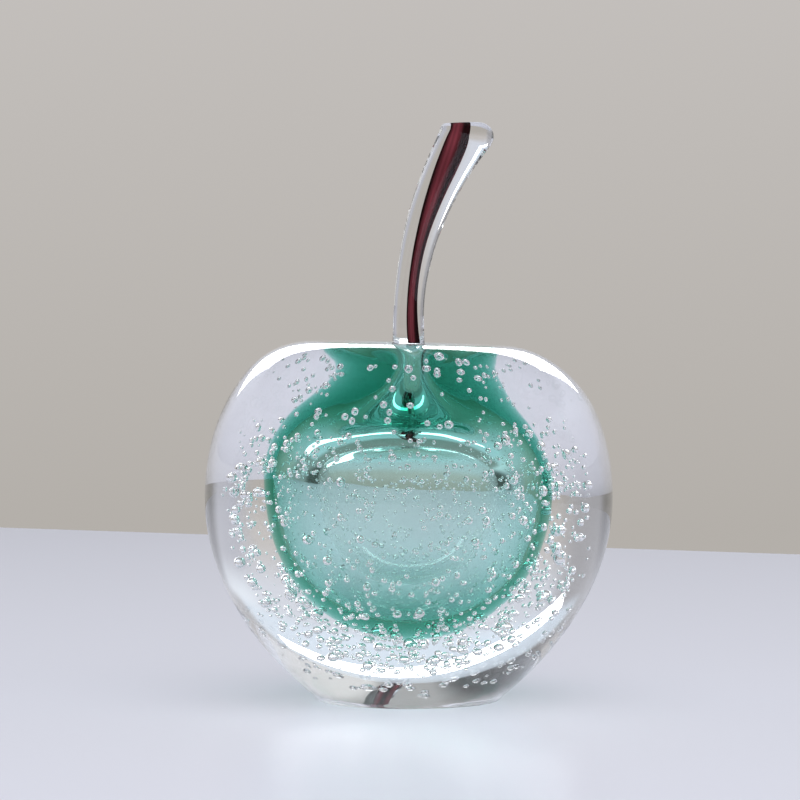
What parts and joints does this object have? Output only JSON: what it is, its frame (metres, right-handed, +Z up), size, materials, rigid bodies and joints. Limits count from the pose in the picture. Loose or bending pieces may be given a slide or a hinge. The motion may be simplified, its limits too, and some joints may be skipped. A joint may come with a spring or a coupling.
{
  "type": "glass apple ornament",
  "caption": "Solid glass ornament in the shape of an apple: clear casing with air seeds round a hollow green bulb, and a bent clear stem with a dark core, standing on a ground flat.",
  "frame": {"origin": "middle of the ground flat that the apple stands on", "axes": "+Z up along the apple's axis, +X towards the side that the stem leans to"},
  "size_m": [0.1, 0.1, 0.1412],
  "materials": {
    "clear_glass": "fire-polished clear glass, ground flat underneath",
    "seeded_glass": "clear glass with trapped air seeds",
    "green_glass": "see-through blue-green glass",
    "stem_glass": "fire-polished clear glass",
    "maroon_glass": "dense maroon glass"
  },
  "bodies": {
    "root": {"outer_casing": "clear_glass", "seed_layer": "seeded_glass", "colour_layer": "green_glass", "stem_glass": "stem_glass", "stem_core": "maroon_glass"}
  },
  "joints": []
}
